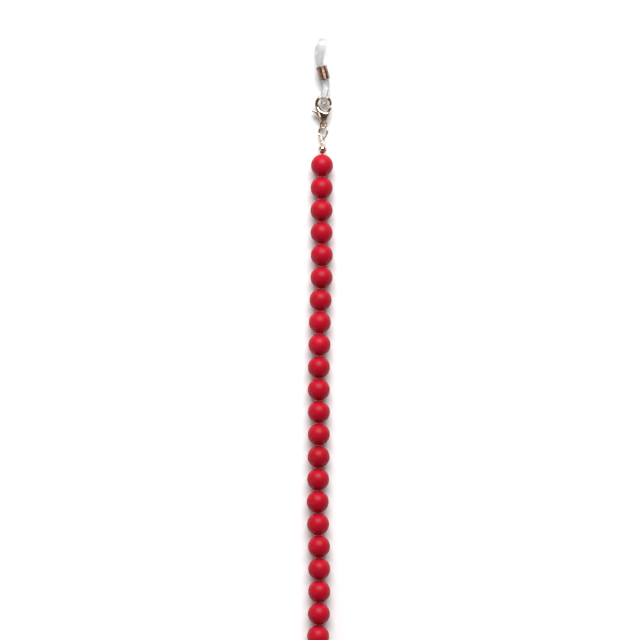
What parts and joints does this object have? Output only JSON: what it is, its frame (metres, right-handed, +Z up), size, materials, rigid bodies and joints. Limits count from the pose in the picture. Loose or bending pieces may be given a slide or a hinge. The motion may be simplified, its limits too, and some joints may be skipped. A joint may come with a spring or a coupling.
{
  "type": "eyeglass retainer strap",
  "caption": "Beaded eyeglass strap with a lobster clasp and an adjustable rubber temple loop at each end.",
  "frame": {"origin": "on the table under the middle of the strap's bounding box, as it lies with one end straight and the rest coiled", "axes": "+Z up from the table, +Y along the straight run towards the first clasp, +X to the right of it"},
  "size_m": [0.1048, 0.3278, 0.008],
  "materials": {
    "red_bead": "satin, even red",
    "steel_wire": "fine stranded wire",
    "gold": "polished, rose-gold plated",
    "bronze": "polished, dark bronze plated",
    "rose_gold": "polished, rose-gold plated",
    "spring_steel": "plain",
    "clear_rubber": "translucent silicone rubber",
    "copper": "polished copper plated wire"
  },
  "bodies": {
    "strand_end_a": {"crimp_tube_a": "steel_wire", "crimp_cover_a": "gold", "wire_loop_a": "steel_wire", "wire_guard_a": "gold"},
    "ring_a": {"jump_ring_a": "gold"},
    "clasp_a": {"clasp_body_a": "bronze", "clasp_pivot_a": "bronze", "clasp_spring_a": "spring_steel"},
    "lever_a": {"clasp_lever_a": "rose_gold"},
    "loop_a": {"temple_loop_a": "clear_rubber"},
    "slider_a": {"slider_a": "copper"},
    "strand_end_b": {"crimp_tube_b": "steel_wire", "crimp_cover_b": "gold", "wire_loop_b": "steel_wire", "wire_guard_b": "gold"},
    "ring_b": {"jump_ring_b": "gold"},
    "clasp_b": {"clasp_body_b": "bronze", "clasp_pivot_b": "bronze", "clasp_spring_b": "spring_steel"},
    "lever_b": {"clasp_lever_b": "rose_gold"},
    "loop_b": {"temple_loop_b": "clear_rubber"},
    "slider_b": {"slider_b": "copper"},
    "coil": {"coil_beads_1": "red_bead", "coil_beads_2": "red_bead", "coil_beads_3": "red_bead", "coil_beads_4": "red_bead", "coil_beads_5": "red_bead", "coil_beads_6": "red_bead", "coil_beads_7": "red_bead", "coil_wire": "steel_wire", "strand_wire": "steel_wire"},
    "bead_24": {"bead_24": "red_bead"},
    "bead_23": {"bead_23": "red_bead"},
    "bead_22": {"bead_22": "red_bead"},
    "bead_21": {"bead_21": "red_bead"},
    "bead_20": {"bead_20": "red_bead"},
    "bead_19": {"bead_19": "red_bead"},
    "bead_18": {"bead_18": "red_bead"},
    "bead_17": {"bead_17": "red_bead"},
    "bead_16": {"bead_16": "red_bead"},
    "bead_15": {"bead_15": "red_bead"},
    "bead_14": {"bead_14": "red_bead"},
    "bead_13": {"bead_13": "red_bead"},
    "bead_12": {"bead_12": "red_bead"},
    "bead_11": {"bead_11": "red_bead"},
    "bead_10": {"bead_10": "red_bead"},
    "bead_09": {"bead_09": "red_bead"},
    "bead_08": {"bead_08": "red_bead"},
    "bead_07": {"bead_07": "red_bead"},
    "bead_06": {"bead_06": "red_bead"},
    "bead_05": {"bead_05": "red_bead"},
    "bead_04": {"bead_04": "red_bead"},
    "bead_03": {"bead_03": "red_bead"},
    "bead_02": {"bead_02": "red_bead"},
    "bead_01": {"bead_01": "red_bead"}
  },
  "joints": [
    {"name": "end_bend_a", "type": "hinge", "parent": "bead_01", "child": "strand_end_a", "pos_m": [0.04843, 0.12183, 0.004], "axis": [0, 0, 1], "range_deg": [-15, 15]},
    {"name": "ring_swing_a", "type": "hinge", "parent": "strand_end_a", "child": "ring_a", "pos_m": [0.04866, 0.12747, 0.00307], "axis": [0.5677, -0.1567, -0.8082], "range_deg": [-18, 18]},
    {"name": "clasp_swivel_a", "type": "hinge", "parent": "ring_a", "child": "clasp_a", "pos_m": [0.04886, 0.13248, 0.00224], "axis": [0, -0.0558, 0.9984], "range_deg": [-30, 30]},
    {"name": "lever_press_a", "type": "hinge", "parent": "clasp_a", "child": "lever_a", "pos_m": [0.04843, 0.13631, 0.00245], "axis": [0, -0.0558, 0.9984], "range_deg": [0, 15], "stiffness_Nm_per_rad": 0.0002, "springref_deg": -5.73},
    {"name": "loop_swing_a", "type": "hinge", "parent": "clasp_a", "child": "loop_a", "pos_m": [0.04901, 0.14261, 0.0028], "axis": [0.9976, 0.0696, 0.0039], "range_deg": [-5, 60]},
    {"name": "slider_slide_a", "type": "slide", "parent": "loop_a", "child": "slider_a", "axis": [-0.0698, 0.996, 0.0557], "range_m": [-0.001, 0.0006]},
    {"name": "end_bend_b", "type": "hinge", "parent": "coil", "child": "strand_end_b", "pos_m": [-0.04023, -0.10876, 0.004], "axis": [0, 0, 1], "range_deg": [-4, 15]},
    {"name": "ring_swing_b", "type": "hinge", "parent": "strand_end_b", "child": "ring_b", "pos_m": [-0.03731, -0.10393, 0.00307], "axis": [0.4211, -0.4118, -0.8082], "range_deg": [-18, 18]},
    {"name": "clasp_swivel_b", "type": "hinge", "parent": "ring_b", "child": "clasp_b", "pos_m": [-0.03471, -0.09965, 0.00224], "axis": [-0.0498, -0.0251, 0.9984], "range_deg": [-30, 15]},
    {"name": "lever_press_b", "type": "hinge", "parent": "clasp_b", "child": "lever_b", "pos_m": [-0.03148, -0.09754, 0.00245], "axis": [-0.0498, -0.0251, 0.9984], "range_deg": [0, 15], "stiffness_Nm_per_rad": 0.0002, "springref_deg": -5.73},
    {"name": "loop_swing_b", "type": "hinge", "parent": "clasp_b", "child": "loop_b", "pos_m": [-0.02559, -0.09522, 0.0028], "axis": [0.3408, -0.9251, 0.1676], "range_deg": [-5, 60]},
    {"name": "slider_slide_b", "type": "slide", "parent": "loop_b", "child": "slider_b", "axis": [0.9336, 0.354, 0.0555], "range_m": [-0.001, 0.0006]},
    {"name": "bend_24", "type": "hinge", "parent": "coil", "child": "bead_24", "pos_m": [0.04683, -0.07204, 0.004], "axis": [0, 0, -1], "range_deg": [-15, 15], "deforming": ["strand_wire"]},
    {"name": "bend_23", "type": "hinge", "parent": "bead_24", "child": "bead_23", "pos_m": [0.04683, -0.06396, 0.004], "axis": [0, 0, 1], "range_deg": [-15, 15]},
    {"name": "bend_22", "type": "hinge", "parent": "bead_23", "child": "bead_22", "pos_m": [0.04683, -0.05588, 0.004], "axis": [0, 0, -1], "range_deg": [-15, 15]},
    {"name": "bend_21", "type": "hinge", "parent": "bead_22", "child": "bead_21", "pos_m": [0.04708, -0.0478, 0.004], "axis": [0, 0, 1], "range_deg": [-15, 15]},
    {"name": "bend_20", "type": "hinge", "parent": "bead_21", "child": "bead_20", "pos_m": [0.04738, -0.03973, 0.004], "axis": [0, 0, -1], "range_deg": [-15, 15]},
    {"name": "bend_19", "type": "hinge", "parent": "bead_20", "child": "bead_19", "pos_m": [0.04733, -0.03165, 0.004], "axis": [0, 0, 1], "range_deg": [-15, 15]},
    {"name": "bend_18", "type": "hinge", "parent": "bead_19", "child": "bead_18", "pos_m": [0.04738, -0.02357, 0.004], "axis": [0, 0, -1], "range_deg": [-15, 15]},
    {"name": "bend_17", "type": "hinge", "parent": "bead_18", "child": "bead_17", "pos_m": [0.04713, -0.01549, 0.004], "axis": [0, 0, 1], "range_deg": [-15, 15]},
    {"name": "bend_16", "type": "hinge", "parent": "bead_17", "child": "bead_16", "pos_m": [0.04678, -0.00742, 0.004], "axis": [0, 0, -1], "range_deg": [-15, 15]},
    {"name": "bend_15", "type": "hinge", "parent": "bead_16", "child": "bead_15", "pos_m": [0.04683, 0.00066, 0.004], "axis": [0, 0, 1], "range_deg": [-15, 15]},
    {"name": "bend_14", "type": "hinge", "parent": "bead_15", "child": "bead_14", "pos_m": [0.04708, 0.00874, 0.004], "axis": [0, 0, -1], "range_deg": [-15, 15]},
    {"name": "bend_13", "type": "hinge", "parent": "bead_14", "child": "bead_13", "pos_m": [0.04718, 0.01682, 0.004], "axis": [0, 0, 1], "range_deg": [-15, 15]},
    {"name": "bend_12", "type": "hinge", "parent": "bead_13", "child": "bead_12", "pos_m": [0.04723, 0.0249, 0.004], "axis": [0, 0, -1], "range_deg": [-15, 15]},
    {"name": "bend_11", "type": "hinge", "parent": "bead_12", "child": "bead_11", "pos_m": [0.04723, 0.03298, 0.004], "axis": [0, 0, 1], "range_deg": [-15, 15]},
    {"name": "bend_10", "type": "hinge", "parent": "bead_11", "child": "bead_10", "pos_m": [0.04713, 0.04106, 0.004], "axis": [0, 0, -1], "range_deg": [-15, 15]},
    {"name": "bend_09", "type": "hinge", "parent": "bead_10", "child": "bead_09", "pos_m": [0.04733, 0.04913, 0.004], "axis": [0, 0, 1], "range_deg": [-15, 15]},
    {"name": "bend_08", "type": "hinge", "parent": "bead_09", "child": "bead_08", "pos_m": [0.04753, 0.05721, 0.004], "axis": [0, 0, -1], "range_deg": [-15, 15]},
    {"name": "bend_07", "type": "hinge", "parent": "bead_08", "child": "bead_07", "pos_m": [0.04763, 0.06529, 0.004], "axis": [0, 0, 1], "range_deg": [-15, 15]},
    {"name": "bend_06", "type": "hinge", "parent": "bead_07", "child": "bead_06", "pos_m": [0.04803, 0.07336, 0.004], "axis": [0, 0, -1], "range_deg": [-15, 15]},
    {"name": "bend_05", "type": "hinge", "parent": "bead_06", "child": "bead_05", "pos_m": [0.04833, 0.08144, 0.004], "axis": [0, 0, 1], "range_deg": [-15, 15]},
    {"name": "bend_04", "type": "hinge", "parent": "bead_05", "child": "bead_04", "pos_m": [0.04823, 0.08952, 0.004], "axis": [0, 0, -1], "range_deg": [-15, 15]},
    {"name": "bend_03", "type": "hinge", "parent": "bead_04", "child": "bead_03", "pos_m": [0.04818, 0.0976, 0.004], "axis": [0, 0, 1], "range_deg": [-15, 15]},
    {"name": "bend_02", "type": "hinge", "parent": "bead_03", "child": "bead_02", "pos_m": [0.04818, 0.10568, 0.004], "axis": [0, 0, -1], "range_deg": [-15, 15]},
    {"name": "bend_01", "type": "hinge", "parent": "bead_02", "child": "bead_01", "pos_m": [0.04828, 0.11375, 0.004], "axis": [0, 0, 1], "range_deg": [-15, 15]}
  ]
}
